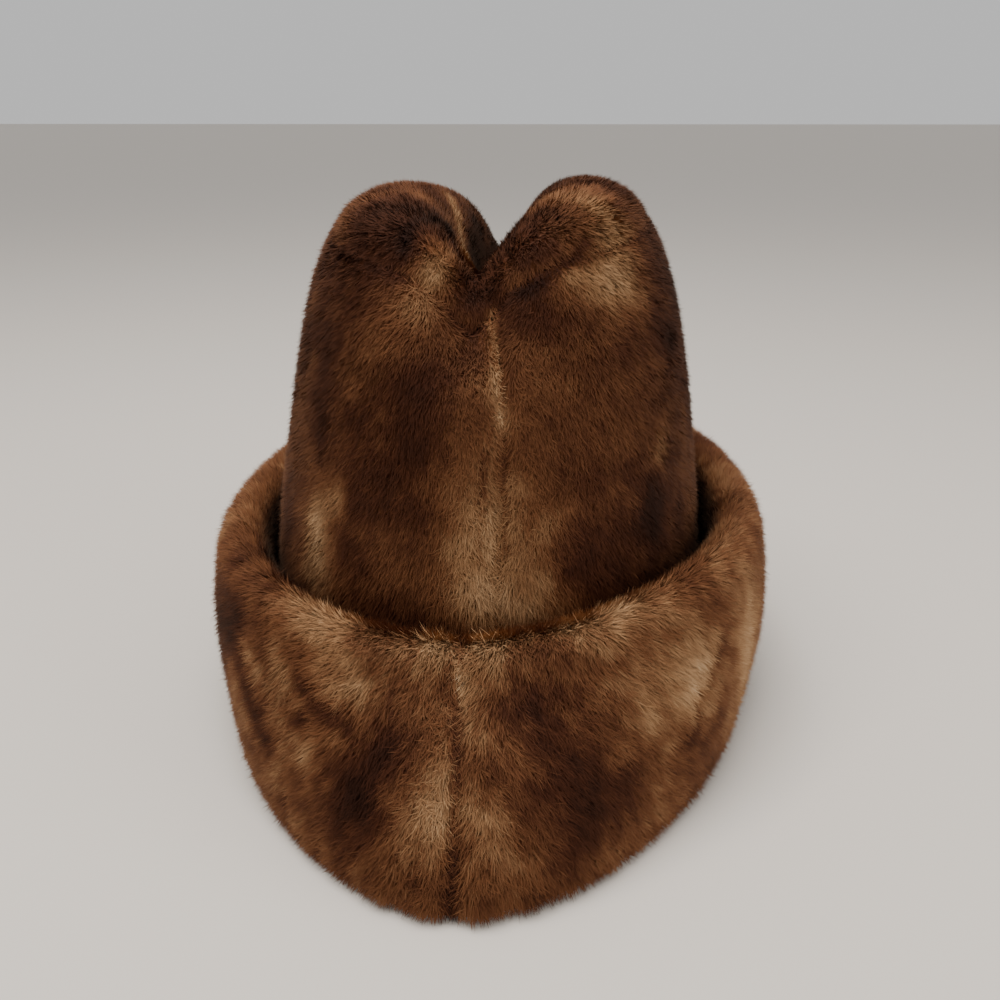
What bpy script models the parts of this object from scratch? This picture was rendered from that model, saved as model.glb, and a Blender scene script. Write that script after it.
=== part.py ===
"""Cossack hat in plush fur: a creased crown of three panels and a turned-up cuff.

Units are metres and +Z is up. The hat stands on its cuff at z = 0. Its front,
where the crown and cuff seams meet, faces -Y, and its left side is at -X.
"""
import math

import bpy
import numpy as np

# Thickness of the fur cloth and the layers made from it.
CROWN_WALL = 0.0080
CREASE_WALL = 0.0045
CUFF_FOOT = 0.0085
CUFF_ROLL = 0.0105
CUFF_CORNER = 0.0070
POCKET_CORNER = 0.0020
SEAM_GAP = 0.0003

# Level lines of the crown before its top is creased, from the bottom edge up.
# The last row is the crease line itself, which has no width.
# Columns: height, half_width, front, back, squareness, shift_right, seam_turn.
# The seam_turn is how many degrees the front seam lies to the right of -Y.
CROWN_LEVELS = (
    (0.0088, 0.0870, 0.1110, 0.1120, 2.10, -0.0005, 5.0),
    (0.0400, 0.0870, 0.1100, 0.1110, 2.10, -0.0002, 5.2),
    (0.0800, 0.0848, 0.1065, 0.1080, 2.15, 0.0002, 5.5),
    (0.1150, 0.0793, 0.1020, 0.1040, 2.20, 0.0008, 5.5),
    (0.1450, 0.0738, 0.0970, 0.0995, 2.30, 0.0009, 5.2),
    (0.1720, 0.0676, 0.0905, 0.0930, 2.35, 0.0010, 4.2),
    (0.1900, 0.0600, 0.0850, 0.0860, 2.40, 0.0008, 2.6),
    (0.2005, 0.0494, 0.0795, 0.0800, 2.35, 0.0004, 1.0),
    (0.2050, 0.0350, 0.0740, 0.0750, 2.20, 0.0000, 0.0),
    (0.2055, 0.0170, 0.0690, 0.0700, 2.10, 0.0000, 0.0),
    (0.2055, 0.0000, 0.0650, 0.0660, 2.00, 0.0000, 0.0),
)
TIP_SEAM_ROW = 6.0
CREASE_ROW = len(CROWN_LEVELS) - 1.0

# The crease that is pushed down between the two lobes.
CREASE_DEPTH_FRONT = 0.0245
CREASE_DEPTH_MIDDLE = 0.050
CREASE_DEPTH_BACK = 0.034
CREASE_HALF_WIDTH = 0.0125
CREASE_SHARPNESS = 1.25
CREASE_REACH_DOWN = 0.130
CREASE_LIP_ROUNDING = 0.012
CREASE_LINING_ROUNDING = 0.006
LEFT_LOBE_DROP = 0.0025
CREASE_GATHERS = 0.10
CREASE_GATHER_PITCH = 0.028
CREASE_GATHER_SLANT = 320.0
LOBE_SIDE_EASE = 0.030
RIDGE_ARCH = 0.0045

# Soft dents and swellings in the side walls of the crown.
# Columns: angle_from_front, height, spread_round, spread_up, depth.
CROWN_DENTS = (
    (62.0, 0.085, 20.0, 0.028, 0.0035),
    (22.0, 0.135, 12.0, 0.040, 0.0020),
    (-25.0, 0.110, 11.0, 0.045, 0.0020),
    (-68.0, 0.075, 14.0, 0.022, -0.0008),
    (-50.0, 0.150, 14.0, 0.022, 0.0020),
    (150.0, 0.100, 22.0, 0.040, 0.0025),
    (-140.0, 0.120, 20.0, 0.035, 0.0025),
)

# Plan ovals of the cuff, all round the same centre.
# Columns: half_width, front, back, front_squareness, back_squareness.
MOUTH_OVAL = (0.0765, 0.1020, 0.1030, 2.10, 2.10)
POCKET_OVAL = (0.0905, 0.1400, 0.1240, 1.80, 2.15)
HEM_OVAL = (0.1075, 0.1630, 0.1460, 1.74, 2.15)
BRIM_OVAL = (0.0985, 0.1195, 0.1310, 2.10, 2.25)

# Height of the cuff's top edge round the hat.
# Columns: angle_from_front, height.
BRIM_HEIGHTS = (
    (0.0, 0.0750),
    (45.0, 0.0840),
    (90.0, 0.0840),
    (135.0, 0.0860),
    (180.0, 0.0850),
    (225.0, 0.0850),
    (270.0, 0.0810),
    (315.0, 0.0780),
)
CUFF_BULGE = 0.0042

# Grooves where panels are sewn, and folds that run down the cuff.
SEAM_GROOVE = 0.0018
SEAM_GROOVE_WIDTH = 0.0050
TIP_GROOVE_ROWS = 0.3
# Columns: angle_from_front, lean, spread, depth.
CUFF_FOLDS = (
    (-62.0, 10.0, 6.0, 0.0014),
    (-30.0, -6.0, 10.0, 0.0018),
    (38.0, -8.0, 9.0, 0.0022),
    (66.0, -6.0, 7.0, 0.0014),
    (125.0, 6.0, 10.0, 0.0022),
    (-130.0, -6.0, 10.0, 0.0022),
)
FOLD_FOOT = 0.15
FOLD_HEAD = 0.85

# Tufted locks of fur along the hem, deepest at the front.
LOCK_DEPTH = 0.0020
LOCK_PITCH = 0.016
LOCKS_NONE_AT = 0.020
LOCKS_FULL_AT = -0.150
LOCK_TAPER = 4

# Distance from the crown's middle to the middle of the hat's whole length.
MIDDLE_Y = -0.0080

# Mesh density.
CROWN_COLUMNS = 64
CUFF_COLUMNS = 112
SIDE_ROWS = 11
TIP_ROWS = 12
BAND_ROWS = 6
CORNER_TURNS = (30.0, 60.0)
ROLL_TURNS = (30.0, 58.0, 82.0)
COLUMN_CROWDING = 0.45
DERIVATIVE_STEP = 0.001
SMALLEST_REACH = 0.01
SHARP_EDGE = 55.0

FUR_COLOURS = {
    "crown_left": (0.120, 0.052, 0.020),
    "crown_right": (0.135, 0.060, 0.024),
    "crown_tip": (0.095, 0.040, 0.016),
    "cuff_left": (0.165, 0.078, 0.032),
    "cuff_right": (0.180, 0.090, 0.038),
}


def clear_scene():
    """Remove every object so that the hat starts in an empty scene."""
    for item in list(bpy.data.objects):
        bpy.data.objects.remove(item, do_unlink=True)


def rows_at(table, place):
    """Columns of a table at fractional row numbers, smooth through its rows."""
    table = np.asarray(table)
    last = len(table) - 1
    place = np.clip(np.asarray(place, dtype=float), 0.0, last)
    first = np.minimum(place.astype(int), last - 1)
    part = (place - first)[..., None]
    before = table[np.maximum(first - 1, 0)]
    here = table[first]
    there = table[first + 1]
    after = table[np.minimum(first + 2, last)]
    leave = 0.5 * (there - before)
    arrive = 0.5 * (after - here)
    square = part * part
    cube = square * part
    mixed = (
        (2.0 * cube - 3.0 * square + 1.0) * here
        + (cube - 2.0 * square + part) * leave
        + (3.0 * square - 2.0 * cube) * there
        + (cube - square) * arrive
    )
    return np.moveaxis(mixed, -1, 0)


def smooth_step(low, high, value):
    """Ease from 0 at low to 1 at high."""
    part = np.clip((value - low) / (high - low), 0.0, 1.0)
    return part * part * (3.0 - 2.0 * part)


def oval(angle, half_width, front, back, front_squareness, back_squareness):
    """Plan oval with its own front and back reach; the angle starts at the front."""
    sine = np.sin(angle)
    cosine = np.cos(angle)
    ahead = cosine > 0.0
    power = 2.0 / np.where(ahead, front_squareness, back_squareness)
    reach = np.where(ahead, -front, back)
    x = half_width * np.sign(sine) * np.abs(sine) ** power
    y = reach * np.abs(cosine) ** power
    return x, y


def angle_gap(angle, centre):
    """Signed difference between two angles in degrees, the short way round."""
    return (np.degrees(angle) - centre + 180.0) % 360.0 - 180.0


def crown_point(angle, row, extra_rounding=0.0):
    """Point on the outside of the crown at an angle and a row of CROWN_LEVELS."""
    height, half_width, front, back, squareness, shift, turn = rows_at(CROWN_LEVELS, row)
    from_seam = half_width * np.sin(angle)
    angle = angle + np.radians(turn) * 0.5 * (1.0 + np.cos(angle))
    x, y = oval(angle, half_width, front, back, squareness, squareness)
    dent = np.zeros_like(x)
    for centre, level, spread_round, spread_up, depth in CROWN_DENTS:
        off_round = angle_gap(angle, centre) / spread_round
        off_up = (height - level) / spread_up
        dent = dent + depth * np.exp(-off_round ** 2 - off_up ** 2)
    on_wall = 1.0 - smooth_step(TIP_SEAM_ROW - 1.0, TIP_SEAM_ROW + 1.0, row)
    seam_groove = SEAM_GROOVE * np.exp(-(from_seam / SEAM_GROOVE_WIDTH) ** 2) * on_wall
    tip_groove = SEAM_GROOVE * np.exp(-((row - TIP_SEAM_ROW) / TIP_GROOVE_ROWS) ** 2)
    reach = np.maximum(np.hypot(x, y), SMALLEST_REACH)
    shrink = 1.0 - (dent * on_wall + seam_groove + tip_groove) / reach
    x = x * shrink + shift
    y = y * shrink
    half_length = np.where(y < 0.0, CROWN_LEVELS[-1][2], CROWN_LEVELS[-1][3])
    depth_end = np.where(y < 0.0, CREASE_DEPTH_FRONT, CREASE_DEPTH_BACK)
    toward_end = smooth_step(0.0, half_length, np.abs(y))
    depth = CREASE_DEPTH_MIDDLE + (depth_end - CREASE_DEPTH_MIDDLE) * toward_end
    gathers = np.sin(2.0 * math.pi * y / CREASE_GATHER_PITCH + CREASE_GATHER_SLANT * x)
    width = CREASE_HALF_WIDTH * (1.0 + CREASE_GATHERS * gathers * (1.0 - toward_end))
    pushed = smooth_step(CREASE_REACH_DOWN, CROWN_LEVELS[-1][0], height)
    rounding = CREASE_LIP_ROUNDING * (1.0 - pushed) + extra_rounding
    aside = np.hypot(x, rounding) - rounding
    valley = np.exp(-(aside / width) ** CREASE_SHARPNESS)
    left = smooth_step(0.0, LOBE_SIDE_EASE, -x)
    lowered = LEFT_LOBE_DROP * left + RIDGE_ARCH * (y / half_length) ** 2
    z = height - (depth * valley + lowered) * pushed
    return np.stack([x, y, z], axis=-1)


def crown_normal(angle, row):
    """Outward unit normal of the crown, with the crease rounded for a smooth inside."""
    low = np.maximum(row - DERIVATIVE_STEP, 0.0)
    high = np.minimum(row + DERIVATIVE_STEP, CREASE_ROW - DERIVATIVE_STEP)
    low = np.minimum(low, high - DERIVATIVE_STEP)
    middle = 0.5 * (low + high)
    soft = CREASE_LINING_ROUNDING
    ahead = crown_point(angle + DERIVATIVE_STEP, middle, soft)
    behind = crown_point(angle - DERIVATIVE_STEP, middle, soft)
    upward = crown_point(angle, high, soft) - crown_point(angle, low, soft)
    normal = np.cross(ahead - behind, upward)
    return normal / np.linalg.norm(normal, axis=-1, keepdims=True)


def crown_layers(angles, rows):
    """Outside and inside point grids of one crown panel."""
    angle, row = np.meshgrid(angles, rows)
    outside = crown_point(angle, row)
    normal = crown_normal(angle, row)
    on_crease = row >= CREASE_ROW
    other_side = crown_normal(-angle, row)
    folded = normal + other_side
    folded = folded / np.linalg.norm(folded, axis=-1, keepdims=True)
    normal = np.where(on_crease[..., None], folded, normal)
    thinning = smooth_step(TIP_SEAM_ROW, TIP_SEAM_ROW + 2.0, row)
    wall = CROWN_WALL + (CREASE_WALL - CROWN_WALL) * thinning
    inside = outside - wall[..., None] * normal
    inside[..., 2] = np.where(row <= 0.0, outside[..., 2], inside[..., 2])
    return outside, inside


def crowded_angles(start, end, count):
    """Angles from start to end, closer together near the front and the back."""
    even = np.linspace(start, end, count)
    return even - 0.5 * COLUMN_CROWDING * np.sin(2.0 * even)


def draw_back(grid, axis, end):
    """Move one border of a grid half a seam gap toward its neighbours."""
    grid = np.moveaxis(grid.copy(), axis, 0)
    border, neighbour = (0, 1) if end == 0 else (-1, -2)
    step = grid[neighbour] - grid[border]
    length = np.linalg.norm(step, axis=-1, keepdims=True)
    grid[border] = grid[border] + 0.5 * SEAM_GAP * step / length
    return np.moveaxis(grid, 0, axis)


def strip(first, second, closed):
    """Quads between two rows of vertex numbers."""
    count = len(first)
    last = count if closed else count - 1
    faces = []
    for i in range(last):
        j = (i + 1) % count
        faces.append((first[i], first[j], second[j], second[i]))
    return faces


def cut_edge(outer, inner, closed, turned):
    """Triangles across a cut edge, split the same way on both sides of a seam."""
    count = len(outer)
    last = count if closed else count - 1
    faces = []
    for i in range(last):
        j = (i + 1) % count
        near = (outer[i], outer[j], inner[j])
        far = (outer[i], inner[j], inner[i])
        faces += [near[::-1], far[::-1]] if turned else [near, far]
    return faces


def sheet_faces(outside, inside, closed):
    """Faces of a thick sheet between two grids of vertex numbers."""
    faces = []
    for low, high in zip(outside[:-1], outside[1:]):
        faces += strip(low, high, closed)
    for low, high in zip(inside[:-1], inside[1:]):
        faces += strip(high, low, closed)
    faces += cut_edge(outside[0], inside[0], closed, True)
    return faces


def panel_object(name, outside, inside):
    """Closed solid of an open panel from its outside and inside point grids."""
    rows, columns = outside.shape[:2]
    numbers = np.arange(rows * columns).reshape(rows, columns)
    behind = numbers + rows * columns
    faces = sheet_faces(numbers, behind, False)
    faces += cut_edge(numbers[-1], behind[-1], False, False)
    faces += cut_edge(numbers[:, 0], behind[:, 0], False, False)
    faces += cut_edge(numbers[:, -1], behind[:, -1], False, True)
    points = np.concatenate([outside.reshape(-1, 3), inside.reshape(-1, 3)])
    return mesh_object(name, points, faces)


def tip_object(name, outside, inside):
    """Closed solid of the tip, whose last row is folded together along the crease."""
    rows, columns = outside.shape[:2]
    half = columns // 2
    open_rows = rows - 1
    numbers = np.arange(open_rows * columns).reshape(open_rows, columns)
    crease = np.array([min(i, columns - i) for i in range(columns)])
    numbers = np.vstack([numbers, open_rows * columns + crease])
    behind = numbers + open_rows * columns + half + 1
    layers = []
    for grid in (outside, inside):
        layers.append(grid[:-1].reshape(-1, 3))
        layers.append(grid[-1, :half + 1])
    faces = sheet_faces(numbers, behind, True)
    return mesh_object(name, np.concatenate(layers), faces)


def mesh_object(name, points, faces):
    """Object with smooth faces, sharp cut edges and its own fur material."""
    points = points - np.array([0.0, MIDDLE_Y, 0.0])
    mesh = bpy.data.meshes.new(name)
    mesh.from_pydata(points.tolist(), [], [[int(v) for v in face] for face in faces])
    mesh.validate()
    mesh.shade_smooth()
    mesh.set_sharp_from_angle(angle=math.radians(SHARP_EDGE))
    mesh.materials.append(fur_material(name))
    item = bpy.data.objects.new(name, mesh)
    bpy.context.scene.collection.objects.link(item)
    return item


def fur_material(name):
    """Plain brown plush for one panel."""
    material = bpy.data.materials.new(name + "_plush")
    material.use_nodes = True
    shader = material.node_tree.nodes["Principled BSDF"]
    shader.inputs["Base Color"].default_value = FUR_COLOURS[name] + (1.0,)
    shader.inputs["Roughness"].default_value = 0.85
    shader.inputs["Metallic"].default_value = 0.0
    return material


def brim_height(angle):
    """Height of the cuff's top edge, smooth all round."""
    table = np.asarray(BRIM_HEIGHTS)
    count = len(table)
    place = (np.degrees(angle) % 360.0) / 360.0 * count
    wrapped = np.vstack([table[-1], table, table[0], table[1]])
    return rows_at(wrapped, place + 1.0)[1]


def cuff_layers(angles):
    """Outside and inside point grids of the cuff, from the mouth up to the roll."""
    brim_x, brim_y = oval(angles, *BRIM_OVAL)
    ahead = np.stack(oval(angles + DERIVATIVE_STEP, *BRIM_OVAL), axis=-1)
    behind = np.stack(oval(angles - DERIVATIVE_STEP, *BRIM_OVAL), axis=-1)
    along = ahead - behind
    along = along / np.linalg.norm(along, axis=-1, keepdims=True)
    outward = np.stack([along[:, 1], -along[:, 0]], axis=-1)
    brim = np.stack([brim_x, brim_y], axis=-1)
    hem = np.stack(oval(angles, *HEM_OVAL), axis=-1)
    pocket = np.stack(oval(angles, *POCKET_OVAL), axis=-1)
    mouth = np.stack(oval(angles, *MOUTH_OVAL), axis=-1)
    groove = SEAM_GROOVE * np.exp(-(hem[:, 0] / SEAM_GROOVE_WIDTH) ** 2)
    roll_height = brim_height(angles) - CUFF_ROLL - groove
    at_front = smooth_step(-LOCKS_NONE_AT, -LOCKS_FULL_AT, -hem[:, 1])
    locks = LOCK_DEPTH * at_front * np.abs(np.sin(math.pi * hem_travel(angles) / LOCK_PITCH))

    def level(plan, height):
        heights = np.broadcast_to(height, angles.shape)
        return np.concatenate([plan, heights[:, None]], axis=-1)

    def out(distance):
        return outward * np.broadcast_to(distance, angles.shape)[:, None]

    outside = [level(mouth, 0.0), level(hem - out(CUFF_CORNER), 0.0)]
    inside = [level(mouth, CUFF_FOOT), level(pocket - out(POCKET_CORNER), CUFF_FOOT)]
    for turn in CORNER_TURNS:
        sine = math.sin(math.radians(turn))
        cosine = math.cos(math.radians(turn))
        frill = locks * sine
        shift = CUFF_CORNER * (1.0 - sine)
        outside.append(level(hem - out(shift - frill), CUFF_CORNER * (1.0 - cosine)))
        inner_shift = POCKET_CORNER * (1.0 - sine)
        inside.append(level(pocket - out(inner_shift), CUFF_FOOT + POCKET_CORNER * (1.0 - cosine)))
    for part in np.linspace(0.0, 1.0, BAND_ROWS):
        height = CUFF_CORNER + part * (roll_height - CUFF_CORNER)
        bulge = CUFF_BULGE * math.sin(math.pi * part) - groove
        for turn, lean, spread, depth in CUFF_FOLDS:
            off = angle_gap(angles, turn + lean * part) / spread
            along_fold = FOLD_FOOT + (FOLD_HEAD - FOLD_FOOT) * part
            bulge = bulge - depth * math.sin(math.pi * along_fold) * np.exp(-off ** 2)
        frill = locks * (1.0 - part) ** LOCK_TAPER
        roll_edge = brim + out(CUFF_ROLL)
        outside.append(level(hem + part * (roll_edge - hem) + out(bulge + frill), height))
        inner_edge = brim - out(CUFF_ROLL)
        low = CUFF_FOOT + POCKET_CORNER
        inner_height = low + part * (roll_height - low)
        inside.append(level(pocket + part * (inner_edge - pocket), inner_height))
    for turn in ROLL_TURNS:
        sine = CUFF_ROLL * math.sin(math.radians(turn))
        cosine = CUFF_ROLL * math.cos(math.radians(turn))
        outside.append(level(brim + out(cosine - groove), roll_height + sine))
        inside.append(level(brim - out(cosine), roll_height + sine))
    return np.stack(outside), np.stack(inside)


def hem_travel(angles):
    """Distance round the hem from the front, for spacing the locks."""
    x, y = oval(angles, *HEM_OVAL)
    return np.sign(x) * np.hypot(x, y + HEM_OVAL[1])


def build_crown():
    """The two side panels, and the tip with its crease."""
    half = CROWN_COLUMNS // 2 + 1
    side_rows = np.linspace(0.0, TIP_SEAM_ROW, SIDE_ROWS)
    side_rows[-2] = TIP_SEAM_ROW - TIP_GROOVE_ROWS
    for name, start in (("crown_right", 0.0), ("crown_left", math.pi)):
        angles = crowded_angles(start, start + math.pi, half)
        layers = crown_layers(angles, side_rows)
        layers = [draw_back(draw_back(grid, 1, 0), 1, 1) for grid in layers]
        layers = [draw_back(grid, 0, 1) for grid in layers]
        panel_object(name, *layers)
    angles = crowded_angles(0.0, 2.0 * math.pi, CROWN_COLUMNS + 1)[:-1]
    toward_crease = 1.0 - (1.0 - np.linspace(0.0, 1.0, TIP_ROWS)) ** 1.5
    tip_rows = TIP_SEAM_ROW + (CREASE_ROW - TIP_SEAM_ROW) * toward_crease
    layers = crown_layers(angles, tip_rows)
    tip_object("crown_tip", *[draw_back(grid, 0, 0) for grid in layers])


def build_cuff():
    """The two halves of the turned-up band."""
    half = CUFF_COLUMNS // 2 + 1
    for name, start in (("cuff_right", 0.0), ("cuff_left", math.pi)):
        angles = crowded_angles(start, start + math.pi, half)
        layers = cuff_layers(angles)
        layers = [draw_back(draw_back(grid, 1, 0), 1, 1) for grid in layers]
        panel_object(name, *layers)


clear_scene()
build_crown()
build_cuff()
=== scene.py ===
"""Finish of the cossack hat: fur cloth panels with their backing, pile and seams.

Units are metres and +Z is up. The front of the hat, where the crown and cuff
seams meet, faces -Y. Angles round the hat are in degrees, counted from the front.
"""
import math

import bmesh
import bpy
import numpy as np
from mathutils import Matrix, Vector
from mathutils.bvhtree import BVHTree


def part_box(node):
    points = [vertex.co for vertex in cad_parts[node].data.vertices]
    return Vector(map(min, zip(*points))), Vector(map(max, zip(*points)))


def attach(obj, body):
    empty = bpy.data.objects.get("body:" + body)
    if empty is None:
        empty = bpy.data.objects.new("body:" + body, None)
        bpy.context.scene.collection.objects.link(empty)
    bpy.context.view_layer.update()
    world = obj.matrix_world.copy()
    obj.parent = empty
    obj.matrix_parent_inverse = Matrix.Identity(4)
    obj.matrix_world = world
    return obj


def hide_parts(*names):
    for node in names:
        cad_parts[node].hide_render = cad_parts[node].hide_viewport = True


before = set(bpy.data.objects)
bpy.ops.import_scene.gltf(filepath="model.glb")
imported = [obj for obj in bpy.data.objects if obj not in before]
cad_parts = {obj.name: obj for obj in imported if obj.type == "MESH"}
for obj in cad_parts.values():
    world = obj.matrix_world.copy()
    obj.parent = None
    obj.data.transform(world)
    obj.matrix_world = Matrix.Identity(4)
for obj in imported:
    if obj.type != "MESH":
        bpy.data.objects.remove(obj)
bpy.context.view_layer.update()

CROWN_MIDDLE = 0.5 * (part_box("crown_left")[0].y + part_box("crown_left")[1].y)

# The fur cloth: how far its backing lies under the outline, and its single hairs.
PILE_DEPTH = 0.0024
PILE_IN_WALL = 0.45
ROOT_SINK = 0.0004
CROWN_HAIR = 0.0040
CUFF_HAIR = 0.0053
HAIR_WIDTH = 0.00046
WIDTH_LIMITS = (0.7, 1.3)
LENGTH_SPREAD = 0.15
LENGTH_LIMITS = (0.5, 1.35)
HAIR_LEAN = 53.0
LEAN_SPREAD = 12.0
LEAN_LIMITS = (4.0, 80.0)
HAIR_TWIST = 22.0
TWIST_LIMIT = 44.0
FORM_IN_SHADING = 0.92
FLOOR_CLEARANCE = 0.0003

HAIRS_PER_SQUARE_METRE = 4.2e6
MOST_HAIRS = 195000

# The hairs' map: tone runs across it and the way from root to tip runs up it.
HAIR_MAP = "OFBake"
MAP_HALF_WIDTH = 0.0015
MAP_TONES = (0.02, 0.98)
MAP_ENDS = (0.01, 0.99)

# Where the fur begins, by height, and how the cuff's outside turns into its inside.
CROWN_FUR = (0.038, 0.050)
CUFF_FOOT_FUR = (0.0005, 0.0070)
CUFF_LINING_FUR = (0.030, 0.046)
CUFF_TURN = (0.15, -0.15)
SPARSEST_PILE = 0.3

# Where the pile is shorter: in the crease, on the cuff's inner side and at the seams.
CREASE_SHORTENING = 0.30
CREASE_WIDTH = 0.014
CREASE_FROM = (0.14, 0.17)
LINING_SHORTENING = 0.40
LINING_FACES = (-0.2, -0.8)
SEAM_SHORTENING = 0.10
SEAM_REACH = 0.0035
SEAM_LINE = 0.0016

# The lay of the nap: its pull down the crown, aside on the cuff, and out over the lobes.
CROWN_PULL_DOWN = 0.3
ASIDE_LAY = 0.65
ASIDE_TURNS = 2.2
CREASE_HALF = 0.004
LOBES_FROM = (0.150, 0.185)

# How the nap wanders from its lay: shares of one, the distances, and the seeds.
WANDER_WIDE = (0.45, 0.016, 11)
WANDER_FINE = (0.42, 0.0036, 12)
WANDER_SINGLE = 0.30
TOUSLED_SINGLE = 2.0

# Tones run from 0, the darkest chestnut, to 1, the palest gold tan.
# The nap's tone, its painted light and shade included, kept on the backing for the underfur.
NAP_ATTRIBUTE = "nap_tone"
CROWN_TONE = 0.27
CUFF_TONE = 0.43
TONE_SINGLE = 0.03
NAP_COLOURS = (
    (0.00, (43, 20, 10)),
    (0.25, (77, 41, 23)),
    (0.45, (117, 74, 46)),
    (0.65, (155, 115, 79)),
    (0.85, (188, 151, 112)),
    (1.00, (212, 181, 143)),
)

# Soft mottling of the nap: strength, distance and seed.
MOTTLES = (
    (0.14, 0.0300, 13),
    (0.10, 0.0100, 14),
    (0.06, 0.0040, 16),
)

# Fine strokes of the combed nap, drawn out along a slanting way down.
CROWN_STROKES = 0.05
CUFF_STROKES = 0.13
STROKE_CELL = 0.0021
STROKE_SEED = 15
STROKE_STRETCH = 0.50
STROKE_SLANT = 0.45
SLANT_FROM = 0.020

# Patches of the nap's tone: painted light where its lay catches the lamps, painted shade
# where one looks into the pile, into gaps and into slits, and where it is rougher or longer.
# They lie on the outer sides, so they fade out towards the middle of the crown, in the crease.
PATCHES_FROM = (0.015, 0.035)
# Columns: angle from front, height, half width, half height, tone, tousle, longer.
CROWN_PATCHES = (
    # left lobe
    (-16, 0.189, 0.0016, 0.004, -0.45, 0.0, 0.0),
    (-14, 0.192, 0.012, 0.010, -0.12, 0.0, 0.0),
    (-47, 0.193, 0.012, 0.012, 0.06, 0.0, 0.0),
    (-9, 0.179, 0.006, 0.009, 0.42, 0.0, 0.0),
    (-15, 0.173, 0.010, 0.008, 0.18, 0.0, 0.0),
    # right lobe
    (46, 0.201, 0.016, 0.008, 0.04, 0.0, 0.0),
    (14, 0.187, 0.011, 0.010, -0.11, 0.0, 0.0),
    (22, 0.191, 0.007, 0.006, 0.08, 0.0, 0.0),
    (35, 0.191, 0.011, 0.015, 0.17, 0.0, 0.0),
    (36, 0.184, 0.014, 0.012, 0.16, 0.0, 0.0),
    (19, 0.179, 0.013, 0.004, 0.26, 0.0, 0.0),
    (31, 0.174, 0.016, 0.010, 0.31, 0.0, 0.0),
    (24, 0.166, 0.012, 0.005, -0.10, 0.0, 0.0),
    # middle of the crown's front
    (1, 0.173, 0.006, 0.006, -0.18, 0.0, 0.0),
    (31, 0.151, 0.010, 0.012, -0.09, 0.0, 0.0),
    (-5, 0.150, 0.009, 0.009, -0.07, 0.0, 0.0),
    (-10, 0.140, 0.011, 0.019, -0.14, 0.0, 0.0),
    (-35, 0.136, 0.007, 0.027, -0.14, 0.0, 0.0),
    (-4, 0.130, 0.007, 0.010, 0.10, 0.0, 0.0),
    (44, 0.121, 0.006, 0.008, 0.24, 0.0, 0.0),
    # down to the cuff
    (4, 0.106, 0.015, 0.032, 0.44, 0.7, 0.2),
    (-27, 0.106, 0.004, 0.008, 0.28, 0.2, 0.0),
    (14, 0.105, 0.005, 0.006, 0.20, 0.3, 0.0),
    (40, 0.102, 0.008, 0.015, -0.26, 0.0, 0.0),
    (53, 0.102, 0.007, 0.020, -0.12, 0.0, 0.0),
    (-34, 0.093, 0.009, 0.017, 0.67, 0.4, 0.1),
    (-18, 0.089, 0.010, 0.018, 0.12, 0.0, 0.0),
    (24, 0.089, 0.011, 0.009, -0.12, 0.0, 0.0),
    (14, 0.087, 0.005, 0.005, 0.28, 0.3, 0.0),
    (-52, 0.086, 0.009, 0.022, -0.12, 0.0, 0.0),
    (4, 0.080, 0.020, 0.008, 0.24, 0.4, 0.6),
)
CUFF_PATCHES = (
    # left side
    (-54, 0.042, 0.015, 0.024, -0.26, 0.0, 0.0),
    (-44, 0.078, 0.006, 0.008, 0.16, 0.0, 0.0),
    (-43, 0.064, 0.012, 0.015, -0.22, 0.0, 0.0),
    (-25, 0.052, 0.013, 0.010, 0.12, 0.0, 0.0),
    (-22, 0.075, 0.015, 0.007, 0.32, 0.2, 0.0),
    (-22, 0.046, 0.006, 0.0035, -0.28, 0.0, 0.0),
    (-21, 0.037, 0.004, 0.005, 0.22, 0.0, 0.0),
    (-21, 0.027, 0.010, 0.013, -0.22, 0.0, 0.0),
    (-15, 0.061, 0.013, 0.008, 0.22, 0.2, 0.0),
    # beside the seam
    (-11, 0.032, 0.014, 0.016, -0.50, 0.0, 0.0),
    (-8, 0.049, 0.008, 0.006, -0.22, 0.0, 0.0),
    (-7, 0.074, 0.0016, 0.0035, -0.45, 0.0, -0.3),
    (-2, 0.073, 0.013, 0.007, 0.32, 0.4, 0.1),
    (-2, 0.032, 0.010, 0.012, 0.27, 0.5, 0.1),
    (0, 0.062, 0.002, 0.005, 0.90, 0.0, 0.0),
    (0, 0.010, 0.045, 0.014, -0.04, 0.3, 0.1),
    (5, 0.078, 0.022, 0.006, 0.14, 0.3, 0.15),
    (6, 0.025, 0.009, 0.009, 0.14, 0.4, 0.1),
    (9, 0.060, 0.008, 0.007, -0.18, 0.0, 0.0),
    # right side
    (14, 0.035, 0.016, 0.019, -0.27, 0.0, 0.0),
    (21, 0.079, 0.019, 0.007, 0.32, 0.1, 0.0),
    (24, 0.029, 0.012, 0.011, -0.22, 0.0, 0.0),
    (26, 0.053, 0.012, 0.011, 0.26, 0.0, 0.0),
    (36, 0.055, 0.012, 0.016, 0.42, 0.0, 0.0),
    (55, 0.046, 0.015, 0.034, 0.32, 0.0, 0.0),
)
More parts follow.
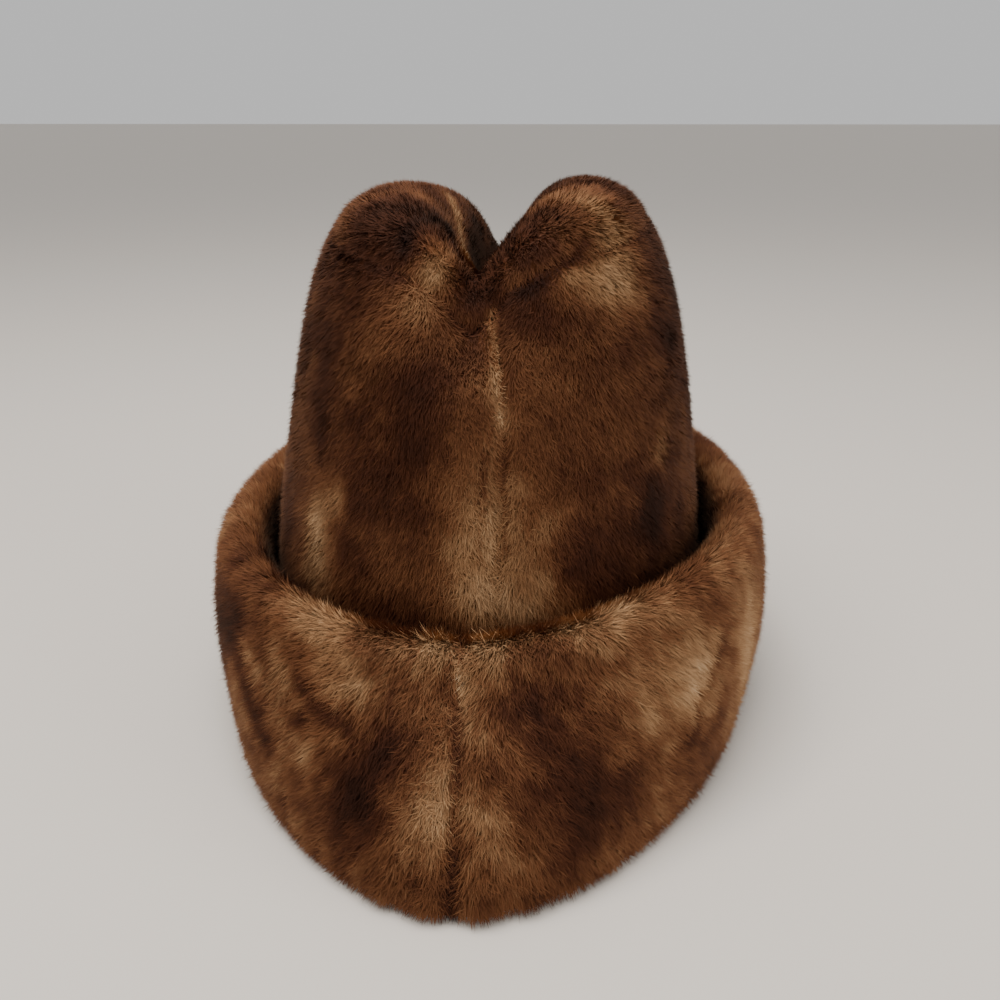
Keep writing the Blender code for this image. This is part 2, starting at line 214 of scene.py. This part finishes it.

# Painted light and shade of soft folds, a dent and the crease's bottom, and the seams' lines,
# each along a line of points on the outline.
# Columns: half width, tone, points.
FOLD_LIGHT_SHADE_AND_SEAMS = (
    # painted shade down the bottom of the crease
    (0.0050, -0.32, ((0.000, 0.085, 0.172), (0.000, 0.000, 0.170), (0.000, -0.040, 0.170))),
    # painted highlights on the two folds inside the left lobe, the painted shadow between them
    # and the one before them
    (0.0036, 0.50, (
        (-0.018, 0.036, 0.193), (-0.014, 0.023, 0.189), (-0.012, 0.017, 0.186),
        (-0.010, 0.004, 0.181), (-0.006, -0.017, 0.178),
    )),
    (0.0050, -0.45, ((-0.008, 0.052, 0.181), (-0.007, 0.034, 0.177), (-0.006, 0.010, 0.173))),
    (0.0030, -0.30, ((-0.012, -0.020, 0.187), (-0.007, -0.050, 0.186), (-0.005, -0.056, 0.183))),
    # painted shade in the dent across the right lobe's front
    (0.0020, -0.24, (
        (0.016, -0.075, 0.175), (0.025, -0.072, 0.180), (0.031, -0.066, 0.185),
        (0.036, -0.061, 0.190),
    )),
    # the crown's front seam with a painted highlight above, and the two dark stitched lines
    # beside it lower down
    (0.0022, 0.38, (
        (0.0057, -0.074, 0.168), (0.007, -0.080, 0.157), (0.0086, -0.085, 0.146),
        (0.0098, -0.088, 0.138),
    )),
    (0.0024, 0.16, ((0.0098, -0.088, 0.138), (0.0108, -0.090, 0.129))),
    (0.0009, -0.26, ((0.005, -0.091, 0.128), (0.004, -0.0935, 0.112), (0.0035, -0.096, 0.093))),
    (0.0009, -0.24, ((0.012, -0.089, 0.131), (0.012, -0.092, 0.112), (0.0125, -0.0945, 0.096))),
    # painted light on the slanting fold on the cuff's left side, painted shade in its hollow and
    # under the roll's lower edge
    (0.0013, 0.12, (
        (-0.086, -0.076, 0.062), (-0.077, -0.090, 0.058), (-0.069, -0.100, 0.053),
        (-0.063, -0.108, 0.046), (-0.056, -0.117, 0.040),
    )),
    (0.0045, -0.30, (
        (-0.086, -0.079, 0.057), (-0.080, -0.089, 0.051), (-0.075, -0.098, 0.042),
        (-0.066, -0.109, 0.033),
    )),
    (0.0030, -0.24, ((-0.054, -0.110, 0.059), (-0.045, -0.119, 0.053), (-0.034, -0.126, 0.051))),
    # painted shade in the fold on the cuff's right side
    (0.0024, -0.24, (
        (0.086, -0.078, 0.065), (0.082, -0.088, 0.055), (0.076, -0.097, 0.045),
        (0.073, -0.102, 0.033),
    )),
)

# The backing: its finish numbers under the fur, inside the hat and in the seams.
FURRED, KNITTED, SEWN = 0, 1, 2
CORNER_ANGLE = 42.0
JOIN_ANGLE = 0.7    # radians
MERGE_DISTANCE = 1e-5
SEAM_STEPS = 6
SEAM_BATCHES = 40

# Painted shade down in the pile: darker from a hair's tip to its root, and over the grain
# of the underfur, which is darker than the nap above it.
HAIR_ROOT_SHADE = (
    (0.00, (0.74, 0.69, 0.65)),
    (0.45, (0.90, 0.88, 0.86)),
    (0.85, (1.00, 1.00, 1.00)),
)
UNDERFUR_GRAIN_AND_SHADE = (
    (0.30, (0.55, 0.52, 0.50)),
    (0.75, (0.95, 0.93, 0.90)),
)
UNDERFUR_GRAIN = 420.0
UNDERFUR_RELIEF = 0.0008

# The fur's faint sheen, and the knitted backing's courses of loops.
SHEEN_COLOUR = (208, 186, 160)
KNIT_COLOURS = (
    (0.15, (112, 78, 48)),
    (0.85, (158, 118, 78)),
)
KNIT_COURSES = 190.0
KNIT_RELIEF = 0.0004

# The camera, by the height, distance and tilt that the photograph was taken from.
CAMERA_HEIGHT = 0.2245
CAMERA_DISTANCE = 0.394
CAMERA_ASIDE = 0.003
CAMERA_PITCH = 21.0
CAMERA_YAW = 4.0
CAMERA_LENS = 36.04
SENSOR_WIDTH = 36.0
CAMERA_CLIP = 0.01

# The stage: a wide pale floor, an even surround and two soft lights.
FLOOR_SIZE = 60.0
FLOOR_COLOUR = (214, 206, 197)
SURROUND_GREY = 0.84
SURROUND_STRENGTH = 0.75
LIGHT_AIM = (0.0, 0.0, 0.1)
# Columns: name, place, size, power, colour.
LIGHTS = (
    ("overhead_light", (-0.20, -0.30, 1.3), 0.9, 22.0, (1.0, 0.97, 0.93)),
    ("side_light", (1.1, -0.5, 0.6), 0.7, 4.0, (1.0, 0.96, 0.9)),
)


def linear(red, green, blue):
    """Linear colour from the 0 to 255 values of a screen, by the usual screen curve."""
    shares = np.array([red, green, blue]) / 255.0
    curved = ((shares + 0.055) / 1.055) ** 2.4
    return tuple(np.where(shares <= 0.04045, shares / 12.92, curved))


def smooth_step(low, high, value):
    """Ease from 0 at low to 1 at high."""
    part = np.clip((value - low) / (high - low), 0.0, 1.0)
    return part * part * (3.0 - 2.0 * part)


def dot(first, second):
    """Dot product of each pair of rows."""
    return np.einsum("ij,ij->i", first, second)


def unit(vectors):
    """Vectors at length one."""
    lengths = np.linalg.norm(vectors, axis=-1, keepdims=True)
    return vectors / np.maximum(lengths, 1e-9)


def drift(points, cell, seed, width=1):
    """Smooth seeded noise from -1 to 1 in space, one row of numbers for each point."""
    rng = np.random.default_rng(seed)
    low = points.min(axis=0) - cell
    place = (points - low) / cell
    first = place.astype(int)
    part = place - first
    part = part * part * (3.0 - 2.0 * part)
    lattice = rng.uniform(-1.0, 1.0, tuple(first.max(axis=0) + 2) + (width,))
    total = np.zeros((len(points), width))
    for step in np.ndindex(2, 2, 2):
        corner = first + np.array(step)
        shares = np.where(np.array(step) == 1, part, 1.0 - part).prod(axis=1)
        total += shares[:, None] * lattice[tuple(corner.T)]
    return total


def angle_from_front(points):
    """Degrees round the crown's middle from the front, positive to +X."""
    return np.degrees(np.arctan2(points[:, 0], CROWN_MIDDLE - points[:, 1]))


def away_from_middle(points):
    """Level directions out from the crown's middle."""
    outward = points - np.array([0.0, CROWN_MIDDLE, 0.0])
    outward[:, 2] = 0.0
    return unit(outward)


# Tones of the nap.


def patch_changes(points, patches):
    """Tone of painted light and shade, tousle and added length that a table of nap patches gives
    to each point.
    """
    angles = angle_from_front(points)
    radius = np.hypot(points[:, 0], points[:, 1] - CROWN_MIDDLE)
    changes = np.zeros((3, len(points)))
    for angle, height, half_width, half_height, *change in patches:
        turn = (angles - angle + 180.0) % 360.0 - 180.0
        off_round = np.radians(turn) * radius / half_width
        off_up = (points[:, 2] - height) / half_height
        share = np.exp(-off_round ** 2 - off_up ** 2)
        changes += np.array(change)[:, None] * share
    return changes * smooth_step(*PATCHES_FROM, radius)


def fold_light_shade_and_seam_tones(places):
    """Tone that the painted light and shade of the soft folds, and the seams' lines, give to
    each place on the outline.
    """
    tones = np.zeros(len(places))
    for half_width, tone, line in FOLD_LIGHT_SHADE_AND_SEAMS:
        nearest = np.full(len(places), np.inf)
        for start, end in zip(np.array(line[:-1]), np.array(line[1:])):
            along = end - start
            share = np.clip((places - start) @ along / (along @ along), 0.0, 1.0)
            apart = places - start - share[:, None] * along
            nearest = np.minimum(nearest, dot(apart, apart))
        tones += tone * np.exp(-nearest / half_width ** 2)
    return tones


def stroke_tones(points):
    """Tone of the fine strokes that the combed nap shows, from -1 to 1."""
    combed = points * np.array([1.0, 1.0, STROKE_STRETCH])
    combed[:, 0] += STROKE_SLANT * points[:, 2] * np.tanh(points[:, 0] / SLANT_FROM)
    return drift(combed, STROKE_CELL, STROKE_SEED)[:, 0]


def nap_tones(points, on_outline, from_seam, patch_light_and_shade, cloth):
    """Tone of a cloth's nap at points, before each hair's own, with the painted light and shade
    of its patches and folds.
    """
    tones = cloth["tone"] + patch_light_and_shade + fold_light_shade_and_seam_tones(on_outline)
    for strength, cell, seed in MOTTLES:
        tones += strength * drift(points, cell, seed)[:, 0]
    tones += cloth["strokes"] * stroke_tones(points)
    return tones + cloth["seam_tone"] * np.exp(-(from_seam / SEAM_LINE) ** 2)


# The backing of a panel.


def smooth_sheet(start):
    """Faces that join the start face without passing a sharp corner."""
    limit = math.radians(CORNER_ANGLE)
    found = {start}
    edge_of_search = [start]
    while edge_of_search:
        face = edge_of_search.pop()
        for edge in face.edges:
            if edge.calc_face_angle(math.pi) > limit:
                continue
            for other in edge.link_faces:
                if other not in found:
                    found.add(other)
                    edge_of_search.append(other)
    return found


def largest_sheets(shell):
    """A panel's two largest smooth sheets: the furred one, then the one inside the hat."""
    left = set(shell.faces)
    sheets = []
    while left:
        sheet = smooth_sheet(next(iter(left)))
        sheets.append(sheet)
        left -= sheet
    sheets.sort(key=lambda sheet: sum(face.calc_area() for face in sheet))
    return sheets[-1], sheets[-2]


def sorted_shell(node):
    """A panel's solid as quads, with its finishes sorted and the fur's border held sharp."""
    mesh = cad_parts[node].data.copy()
    mesh.name = node + "_backing"
    shell = bmesh.new()
    shell.from_mesh(mesh)
    bmesh.ops.remove_doubles(shell, verts=shell.verts, dist=MERGE_DISTANCE)
    bmesh.ops.join_triangles(
        shell, faces=shell.faces, angle_face_threshold=JOIN_ANGLE,
        angle_shape_threshold=JOIN_ANGLE,
    )
    shell.normal_update()
    furred, inner = largest_sheets(shell)
    creases = shell.edges.layers.float.new("crease_edge")
    held = shell.verts.layers.float.new("crease_vert")
    for face in shell.faces:
        if face in furred:
            face.material_index = FURRED
        elif face in inner:
            face.material_index = KNITTED
        else:
            face.material_index = SEWN
        face.smooth = True
    for edge in shell.edges:
        if len({face in furred for face in edge.link_faces}) == 2:
            edge[creases] = 1.0
            for vertex in edge.verts:
                vertex[held] = 1.0
    mesh.materials.clear()
    for finish in (underfur, knit, underfur):
        mesh.materials.append(finish)
    shell.to_mesh(mesh)
    shell.free()
    return mesh


def backing_of(node, cloth):
    """The cloth under one panel's fur, and the sheet that its pile stands on."""
    item = bpy.data.objects.new(node + "_backing", sorted_shell(node))
    bpy.context.scene.collection.objects.link(item)
    bpy.ops.object.select_all(action="DESELECT")
    bpy.context.view_layer.objects.active = item
    item.select_set(True)
    softened = item.modifiers.new("softened", "SUBSURF")
    softened.levels = 1
    softened.render_levels = 1
    bpy.ops.object.modifier_apply(modifier=softened.name)
    sheet = fur_sheet(item.data, cloth["fur_share"])
    let_in = sheet["places"] - sheet["depths"] * sheet["normals"]
    item.data.vertices.foreach_set("co", let_in.astype(np.float32).ravel())
    from_seam = np.linalg.norm(sheet["seam_ways"], axis=1)
    patch_light_and_shade = patch_changes(let_in, cloth["patches"])[0]
    tones = nap_tones(let_in, sheet["places"], from_seam, patch_light_and_shade, cloth)
    nap = item.data.attributes.new(NAP_ATTRIBUTE, "FLOAT", "POINT")
    nap.data.foreach_set("value", tones.clip(0.0, 1.0).astype(np.float32))
    item.data.update()
    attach(item, "root")
    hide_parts(node)
    return sheet


def fur_sheet(mesh, share_rule):
    """A panel's furred side: its points, triangles, normals, pile depths and seam ways."""
    mesh.calc_loop_triangles()
    places = np.empty(len(mesh.vertices) * 3, np.float32)
    mesh.vertices.foreach_get("co", places)
    places = places.reshape(-1, 3).astype(float)
    triangles = np.empty(len(mesh.loop_triangles) * 3, np.int32)
    mesh.loop_triangles.foreach_get("vertices", triangles)
    triangles = triangles.reshape(-1, 3)
    finishes = np.empty(len(mesh.loop_triangles), np.int32)
    mesh.loop_triangles.foreach_get("material_index", finishes)
    wall = BVHTree.FromPolygons(places.tolist(), triangles.tolist())
    triangles = triangles[finishes == FURRED]
    corners = places[triangles]
    crossed = np.cross(corners[:, 1] - corners[:, 0], corners[:, 2] - corners[:, 0])
    normals = np.zeros_like(places)
    for corner in range(3):
        np.add.at(normals, triangles[:, corner], crossed)
    normals = unit(normals)
    carried = np.unique(triangles)
    depths = np.zeros((len(places), 1))
    for number in carried:
        inward = Vector(-normals[number])
        start = Vector(places[number]) + inward * ROOT_SINK
        thickness = wall.ray_cast(start, inward)[3] or PILE_DEPTH
        depths[number] = min(PILE_DEPTH, PILE_IN_WALL * thickness)
    depths[carried, 0] *= share_rule(places[carried], normals[carried])
    return {
        "places": places,
        "triangles": triangles,
        "areas": 0.5 * np.linalg.norm(crossed, axis=1),
        "normals": normals,
        "depths": depths,
        "seam_ways": away_from_seams(mesh, places, carried),
    }


def away_from_seams(mesh, places, carried):
    """For each point of the furred side, the vector to it from the nearest seam."""
    on_fur = np.zeros(len(places), bool)
    off_fur = np.zeros(len(places), bool)
    for face in mesh.polygons:
        group = on_fur if face.material_index == FURRED else off_fur
        group[list(face.vertices)] = True
    ends = np.empty(len(mesh.edges) * 2, np.int32)
    mesh.edges.foreach_get("vertices", ends)
    ends = ends.reshape(-1, 2)
    ends = ends[(on_fur & off_fur)[ends].all(axis=1)]
    steps = np.linspace(0.0, 1.0, SEAM_STEPS)[:, None, None]
    seam = (places[ends[:, 0]] * (1.0 - steps) + places[ends[:, 1]] * steps).reshape(-1, 3)
    away = np.zeros_like(places)
    for part in np.array_split(carried, SEAM_BATCHES):
        apart = places[part, None] - seam[None]
        nearest = np.argmin(np.einsum("ijk,ijk->ij", apart, apart), axis=1)
        away[part] = apart[np.arange(len(part)), nearest]
    return away


# What differs between the crown's fur cloth and the cuff's.


def crown_share(points, normals):
    """Share of the pile that a crown point carries."""
    return smooth_step(*CROWN_FUR, points[:, 2])


def cuff_share(points, normals):
    """Share of the pile that a cuff point carries: none under the foot or deep inside."""
    facing_out = dot(normals, away_from_middle(points))
    outside = smooth_step(*CUFF_FOOT_FUR, points[:, 2])
    inside = smooth_step(*CUFF_LINING_FUR, points[:, 2])
    return outside + (inside - outside) * smooth_step(*CUFF_TURN, facing_out)


def over_the_top(normals, outward):
    """Ways that run up the inner side of a ridge, over it and down its outer side."""
    up = np.array([0.0, 0.0, 1.0])
    return normals[:, 2:] * outward - dot(normals, outward)[:, None] * up


def crown_lay(points, normals):
    """Lay of the crown's nap: out of the crease, over the lobes and down the sides.

    At the bottom of the crease the hairs lie along it, so that no bare line shows.
    """
    sideways = np.zeros_like(points)
    sideways[:, 0] = np.tanh(points[:, 0] / CREASE_HALF)
    sideways[:, 1] = sideways[:, 0] ** 2 - 1.0
    on_lobes = smooth_step(*LOBES_FROM, points[:, 2]) * (1.0 - normals[:, 1] ** 2)
    low = over_the_top(normals, away_from_middle(points))
    high = over_the_top(normals, sideways)
    return low + on_lobes[:, None] * (high - low) - np.array([0.0, 0.0, CROWN_PULL_DOWN])


def cuff_lay(points, normals):
    """Lay of the cuff's nap: over its rolled edge, down its face, aside from the front."""
    angles = np.radians(angle_from_front(points))
    outward = away_from_middle(points)
    aside = np.stack([-outward[:, 1], outward[:, 0], np.zeros(len(points))], axis=1)
    strength = ASIDE_LAY * np.sin(np.clip(ASIDE_TURNS * angles, -math.pi, math.pi))
    return over_the_top(normals, outward) + strength[:, None] * aside


def crown_length(points, normals):
    """Hair length on the crown, shorter down in the crease."""
    in_crease = np.exp(-(points[:, 0] / CREASE_WIDTH) ** 2)
    in_crease = in_crease * smooth_step(*CREASE_FROM, points[:, 2])
    facing_front = np.abs(normals[:, 1])
    return CROWN_HAIR * (1.0 - CREASE_SHORTENING * in_crease * (1.0 - facing_front))


def cuff_length(points, normals):
    """Hair length on the cuff, shorter on the side that faces the crown."""
    facing_out = dot(normals, away_from_middle(points))
    return CUFF_HAIR * (1.0 - LINING_SHORTENING * smooth_step(*LINING_FACES, facing_out))


CROWN_CLOTH = {
    "fur_share": crown_share,
    "lay": crown_lay,
    "length": crown_length,
    "patches": CROWN_PATCHES,
    "tone": CROWN_TONE,
    "strokes": CROWN_STROKES,
    "parting": -0.7,
    "seam_tone": -0.12,
}
CUFF_CLOTH = {
    "fur_share": cuff_share,
    "lay": cuff_lay,
    "length": cuff_length,
    "patches": CUFF_PATCHES,
    "tone": CUFF_TONE,
    "strokes": CUFF_STROKES,
    "parting": -0.35,
    "seam_tone": -0.30,
}

# Columns: panel, its cloth, and the seed of its hairs.
PANELS = (
    ("crown_left", CROWN_CLOTH, 101),
    ("crown_right", CROWN_CLOTH, 102),
    ("crown_tip", CROWN_CLOTH, 103),
    ("cuff_left", CUFF_CLOTH, 104),
    ("cuff_right", CUFF_CLOTH, 105),
)


# The pile of a panel.


def roots_on(sheet, per_square_metre, rng):
    """Seeded hair roots, with their outline places, normals, pile depths and seams."""
    triangles, depths = sheet["triangles"], sheet["depths"]
    furred = depths[triangles, 0].mean(axis=1) > SPARSEST_PILE * PILE_DEPTH
    weights = sheet["areas"] * furred
    count = int(weights.sum() * per_square_metre)
    chosen = rng.choice(len(triangles), count, p=weights / weights.sum())
    first, second = np.sqrt(rng.random(count)), rng.random(count)
    parts = np.stack([1.0 - first, first * (1.0 - second), first * second], axis=1)

    def spread(name):
        """Values of the chosen triangles' corners at the roots."""
        return np.einsum("ij,ijk->ik", parts, sheet[name][triangles[chosen]])

    normals, depths, seam_ways = unit(spread("normals")), spread("depths"), spread("seam_ways")
    points = spread("places") - (depths + ROOT_SINK) * normals
    from_seam = np.linalg.norm(seam_ways, axis=1)
    return {
        "points": points,
        "on_outline": points + (depths + ROOT_SINK) * normals,
        "normals": normals,
        "depths": depths[:, 0],
        "seam_ways": seam_ways,
        "from_seam": from_seam,
        "near_seam": np.exp(-(from_seam / SEAM_REACH) ** 2),
    }


def hair_ways(roots, tousle, cloth, rng):
    """Directions of the hairs: leaned from the normal along the cloth's wandering lay."""
    points, normals = roots["points"], roots["normals"]
    wide, wide_cell, wide_seed = WANDER_WIDE
    fine, fine_cell, fine_seed = WANDER_FINE
    wander = wide * drift(points, wide_cell, wide_seed, 3)
    wander += (1.0 + tousle)[:, None] * fine * drift(points, fine_cell, fine_seed, 3)
    single = WANDER_SINGLE * (1.0 + TOUSLED_SINGLE * tousle)
    wander += single[:, None] * rng.normal(size=points.shape)
    lay = cloth["lay"](points, normals) + wander
    lay += (cloth["parting"] * roots["near_seam"])[:, None] * unit(roots["seam_ways"])
    lay = unit(lay - dot(lay, normals)[:, None] * normals)
    leans = HAIR_LEAN + LEAN_SPREAD * (1.0 + tousle) * rng.normal(size=len(points))
    leans = np.radians(leans.clip(*LEAN_LIMITS))[:, None]
    return np.cos(leans) * normals + np.sin(leans) * lay


def hair_lengths(roots, longer, cloth, rng):
    """Lengths of the hairs, uneven, and shorter where the pile is let in less deep."""
    uneven = (1.0 + LENGTH_SPREAD * rng.normal(size=len(longer))).clip(*LENGTH_LIMITS)
    lengths = cloth["length"](roots["points"], roots["normals"]) * (1.0 + longer) * uneven
    lengths = lengths * (1.0 - SEAM_SHORTENING * roots["near_seam"])
    return lengths * np.sqrt(roots["depths"] / PILE_DEPTH)


def hair_corners(roots, ways, lengths, width, rng):
    """The three corners of each hair, and the direction that its shading faces."""
    points, normals = roots["points"], roots["normals"]
    side = unit(np.cross(ways, normals))
    flat = np.cross(side, ways)
    twist = (HAIR_TWIST * rng.normal(size=len(points))).clip(-TWIST_LIMIT, TWIST_LIMIT)
    twist = np.radians(twist)[:, None]
    side = np.cos(twist) * side + np.sin(twist) * flat
    half = 0.5 * width * rng.uniform(*WIDTH_LIMITS, len(points))[:, None] * side
    tips = points + lengths[:, None] * ways
    corners = np.stack([points - half, points + half, tips], axis=1)
    corners[..., 2] = np.maximum(corners[..., 2], FLOOR_CLEARANCE)
    own = np.cross(ways, side)
    own *= np.sign(dot(own, normals))[:, None]
    return corners, unit(own + FORM_IN_SHADING * (normals - own))


def pile_of(node, cloth, seed):
    """The fur of one panel as meshes of pointed hairs on its backing."""
    sheet = backing_of(node, cloth)
    rng = np.random.default_rng(seed)
    density, width = HAIRS_PER_SQUARE_METRE, HAIR_WIDTH
    roots = roots_on(sheet, density, rng)
    points = roots["points"]
    patch_light_and_shade, tousle, longer = patch_changes(points, cloth["patches"])
    ways = hair_ways(roots, tousle, cloth, rng)
    lengths = hair_lengths(roots, longer, cloth, rng)
    corners, shading = hair_corners(roots, ways, lengths, width, rng)
    tones = nap_tones(points, roots["on_outline"], roots["from_seam"], patch_light_and_shade, cloth)
    tones = (tones + TONE_SINGLE * rng.normal(size=len(points))).clip(*MAP_TONES)
    parts = math.ceil(len(points) / MOST_HAIRS)
    order = np.argsort(angle_from_front(points), kind="stable")
    for number, group in enumerate(np.array_split(order, parts), 1):
        name = node + "_pile" if parts == 1 else f"{node}_pile_{number}"
        item = hair_object(name, corners[group], shading[group], tones[group])
        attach(item, "root")


def hair_object(name, corners, shading, tones):
    """Mesh of hairs from their three corners each, mapped by tone and by length."""
    count = len(corners)
    mesh = bpy.data.meshes.new(name)
    mesh.vertices.add(3 * count)
    mesh.vertices.foreach_set("co", corners.astype(np.float32).ravel())
    mesh.loops.add(3 * count)
    mesh.loops.foreach_set("vertex_index", np.arange(3 * count, dtype=np.int32))
    mesh.polygons.add(count)
    mesh.polygons.foreach_set("loop_start", np.arange(0, 3 * count, 3, dtype=np.int32))
    mesh.polygons.foreach_set("use_smooth", np.ones(count, bool))
    mesh.update(calc_edges=True)
    mesh.normals_split_custom_set_from_vertices(np.repeat(shading, 3, axis=0))
    root_end, tip_end = MAP_ENDS
    spots = np.empty((count, 3, 2), np.float32)
    spots[..., 0] = tones[:, None] + np.array([-MAP_HALF_WIDTH, MAP_HALF_WIDTH, 0.0])
    spots[..., 1] = np.array([root_end, root_end, tip_end])
    layer = mesh.uv_layers.new(name=HAIR_MAP)
    layer.uv.foreach_set("vector", spots.ravel())
    mesh.materials.append(fur)
    item = bpy.data.objects.new(name, mesh)
    bpy.context.scene.collection.objects.link(item)
    return item


# Finishes.


def new_material(name, roughness, shine):
    """A plain finish to build on, with its node tree and its shader."""
    material = bpy.data.materials.new(name)
    material.use_nodes = True
    tree = material.node_tree
    shader = tree.nodes["Principled BSDF"]
    shader.inputs["Roughness"].default_value = roughness
    shader.inputs["Specular IOR Level"].default_value = shine
    return material, tree, shader


def ramp_of(tree, stops):
    """Colour ramp node with (place, colour) stops."""
    ramp = tree.nodes.new("ShaderNodeValToRGB")
    elements = ramp.color_ramp.elements
    while len(elements) < len(stops):
        elements.new(0.5)
    for element, (place, colour) in zip(elements, stops):
        element.position = place
        element.color = tuple(colour) + (1.0,)
    return ramp


def screen_ramp(tree, stops):
    """Colour ramp node with stops whose colours are screen values."""
    return ramp_of(tree, [(place, linear(*colour)) for place, colour in stops])


def multiply_into(tree, first, second, socket):
    """Lead two ramps' colours, one times the other, into a socket."""
    mix = tree.nodes.new("ShaderNodeMix")
    mix.data_type = "RGBA"
    mix.blend_type = "MULTIPLY"
    mix.inputs["Factor"].default_value = 1.0
    tree.links.new(first.outputs["Color"], mix.inputs["A"])
    tree.links.new(second.outputs["Color"], mix.inputs["B"])
    tree.links.new(mix.outputs["Result"], socket)


def bump_from(tree, height, shader, strength, distance):
    """Lead a texture's height into a shader as fine relief."""
    bump = tree.nodes.new("ShaderNodeBump")
    bump.inputs["Strength"].default_value = strength
    bump.inputs["Distance"].default_value = distance
    tree.links.new(height, bump.inputs["Height"])
    tree.links.new(bump.outputs["Normal"], shader.inputs["Normal"])


def fur_finish():
    """Hair colour by tone across the map and by place along the hair up it, darker towards the
    root as painted shade down in the pile.
    """
    material, tree, shader = new_material("brown_plush_hair", roughness=0.70, shine=0.12)
    shader.inputs["Sheen Weight"].default_value = 0.06
    shader.inputs["Sheen Roughness"].default_value = 0.45
    shader.inputs["Sheen Tint"].default_value = linear(*SHEEN_COLOUR) + (1.0,)
    spot = tree.nodes.new("ShaderNodeUVMap")
    spot.uv_map = HAIR_MAP
    split = tree.nodes.new("ShaderNodeSeparateXYZ")
    tree.links.new(spot.outputs["UV"], split.inputs[0])
    tones = screen_ramp(tree, NAP_COLOURS)
    tree.links.new(split.outputs["X"], tones.inputs["Fac"])
    # Painted shade down in the pile: darker towards the hair's root.
    along = ramp_of(tree, HAIR_ROOT_SHADE)
    tree.links.new(split.outputs["Y"], along.inputs["Fac"])
    multiply_into(tree, tones, along, shader.inputs["Base Color"])
    return material


def underfur_finish():
    """Dense underfur on the backing: the nap's tone there with a grain, darker as painted shade
    down in the pile.
    """
    material, tree, shader = new_material("brown_underfur", roughness=0.9, shine=0.1)
    nap = tree.nodes.new("ShaderNodeAttribute")
    nap.attribute_name = NAP_ATTRIBUTE
    tones = screen_ramp(tree, NAP_COLOURS)
    tree.links.new(nap.outputs["Fac"], tones.inputs["Fac"])
    place = tree.nodes.new("ShaderNodeTexCoord")
    grain = tree.nodes.new("ShaderNodeTexNoise")
    grain.inputs["Scale"].default_value = UNDERFUR_GRAIN
    grain.inputs["Detail"].default_value = 5.0
    tree.links.new(place.outputs["Object"], grain.inputs["Vector"])
    # The grain, darker overall as painted shade down in the pile.
    shades = ramp_of(tree, UNDERFUR_GRAIN_AND_SHADE)
    tree.links.new(grain.outputs["Fac"], shades.inputs["Fac"])
    multiply_into(tree, tones, shades, shader.inputs["Base Color"])
    bump_from(tree, grain.outputs["Fac"], shader, strength=0.6, distance=UNDERFUR_RELIEF)
    return material


def knit_finish():
    """Knitted backing that shows inside the hat, with fine courses of loops."""
    material, tree, shader = new_material("knitted_backing", roughness=0.85, shine=0.2)
    place = tree.nodes.new("ShaderNodeTexCoord")
    courses = tree.nodes.new("ShaderNodeTexWave")
    courses.bands_direction = "Z"
    courses.inputs["Scale"].default_value = KNIT_COURSES
    courses.inputs["Distortion"].default_value = 1.5
    courses.inputs["Detail"].default_value = 2.0
    courses.inputs["Detail Scale"].default_value = 3.0
    tree.links.new(place.outputs["Object"], courses.inputs["Vector"])
    shades = screen_ramp(tree, KNIT_COLOURS)
    tree.links.new(courses.outputs["Fac"], shades.inputs["Fac"])
    tree.links.new(shades.outputs["Color"], shader.inputs["Base Color"])
    bump_from(tree, courses.outputs["Fac"], shader, strength=0.5, distance=KNIT_RELIEF)
    return material


# Camera and stage.


def add_camera():
    """Camera at the photograph's height, distance and tilt."""
    yaw = math.radians(CAMERA_YAW)
    data = bpy.data.cameras.new("camera")
    data.lens = CAMERA_LENS
    data.sensor_width = SENSOR_WIDTH
    data.clip_start = CAMERA_CLIP
    camera = bpy.data.objects.new("camera", data)
    camera.location = (
        math.sin(yaw) * CAMERA_DISTANCE + math.cos(yaw) * CAMERA_ASIDE,
        CROWN_MIDDLE - math.cos(yaw) * CAMERA_DISTANCE + math.sin(yaw) * CAMERA_ASIDE,
        CAMERA_HEIGHT,
    )
    camera.rotation_euler = (math.radians(90.0 - CAMERA_PITCH), 0.0, yaw)
    bpy.context.scene.collection.objects.link(camera)
    bpy.context.scene.camera = camera


def add_light(name, place, size, power, colour):
    """Square soft light that faces the middle of the hat."""
    data = bpy.data.lights.new(name, "AREA")
    data.size = size
    data.energy = power
    data.color = colour
    item = bpy.data.objects.new(name, data)
    item.location = place
    aim = Vector(LIGHT_AIM) - Vector(place)
    item.rotation_euler = aim.to_track_quat("-Z", "Y").to_euler()
    bpy.context.scene.collection.objects.link(item)


def add_stage():
    """Plain pale floor, soft lights and an even pale surround."""
    bpy.ops.object.select_all(action="DESELECT")
    bpy.ops.mesh.primitive_plane_add(size=FLOOR_SIZE, location=(0.0, 0.0, 0.0))
    floor = bpy.context.active_object
    floor.name = "floor"
    material, _, shader = new_material("pale_floor", roughness=0.7, shine=0.3)
    shader.inputs["Base Color"].default_value = linear(*FLOOR_COLOUR) + (1.0,)
    floor.data.materials.append(material)
    world = bpy.data.worlds.new("pale_surround")
    world.use_nodes = True
    glow = world.node_tree.nodes["Background"]
    glow.inputs["Color"].default_value = (SURROUND_GREY, SURROUND_GREY, SURROUND_GREY, 1.0)
    glow.inputs["Strength"].default_value = SURROUND_STRENGTH
    bpy.context.scene.world = world
    for light in LIGHTS:
        add_light(*light)


underfur = underfur_finish()
knit = knit_finish()
fur = fur_finish()
add_camera()
add_stage()
for panel, cloth_of_panel, hair_seed in PANELS:
    pile_of(panel, cloth_of_panel, hair_seed)
